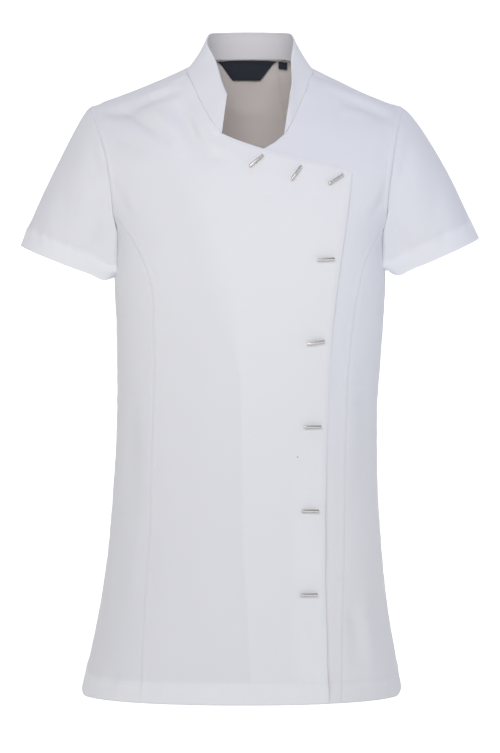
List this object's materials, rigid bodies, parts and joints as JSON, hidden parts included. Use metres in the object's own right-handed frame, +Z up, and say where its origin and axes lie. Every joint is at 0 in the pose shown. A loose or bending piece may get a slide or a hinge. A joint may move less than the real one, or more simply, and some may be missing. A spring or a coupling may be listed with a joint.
{
  "type": "beautician tunic",
  "caption": "Short-sleeved wrap tunic for salon work, with a stand collar, princess seams and slim metal bars down an asymmetric front; hollow and open for the wearer.",
  "frame": {"origin": "mid-width, at the level of the high shoulder points, between the front and back at the shoulder seams, where the wearer's shoulders carry the garment", "axes": "+Z up, the front faces -Y, +X towards the wearer's left"},
  "size_m": [0.5484, 0.2705, 0.7981],
  "materials": {
    "poplin": "matt white polyester and cotton poplin",
    "collar": "matt white poplin, doubled and interlined",
    "tape": "white twill tape",
    "label": "dark navy woven label, blank",
    "bar": "polished"
  },
  "bodies": {
    "root": {"right_centre_front": "poplin", "left_centre_front": "poplin", "right_side_front": "poplin", "left_side_front": "poplin", "centre_back": "poplin", "right_side_back": "poplin", "left_side_back": "poplin", "right_sleeve": "poplin", "left_sleeve": "poplin", "stand_collar": "collar", "neck_tape": "tape", "neck_label": "label", "size_tab": "label", "bar_button_1": "bar", "bar_button_2": "bar", "bar_button_3": "bar", "bar_button_4": "bar", "bar_button_5": "bar", "bar_button_6": "bar", "bar_button_7": "bar", "bar_button_8": "bar"}
  },
  "joints": []
}
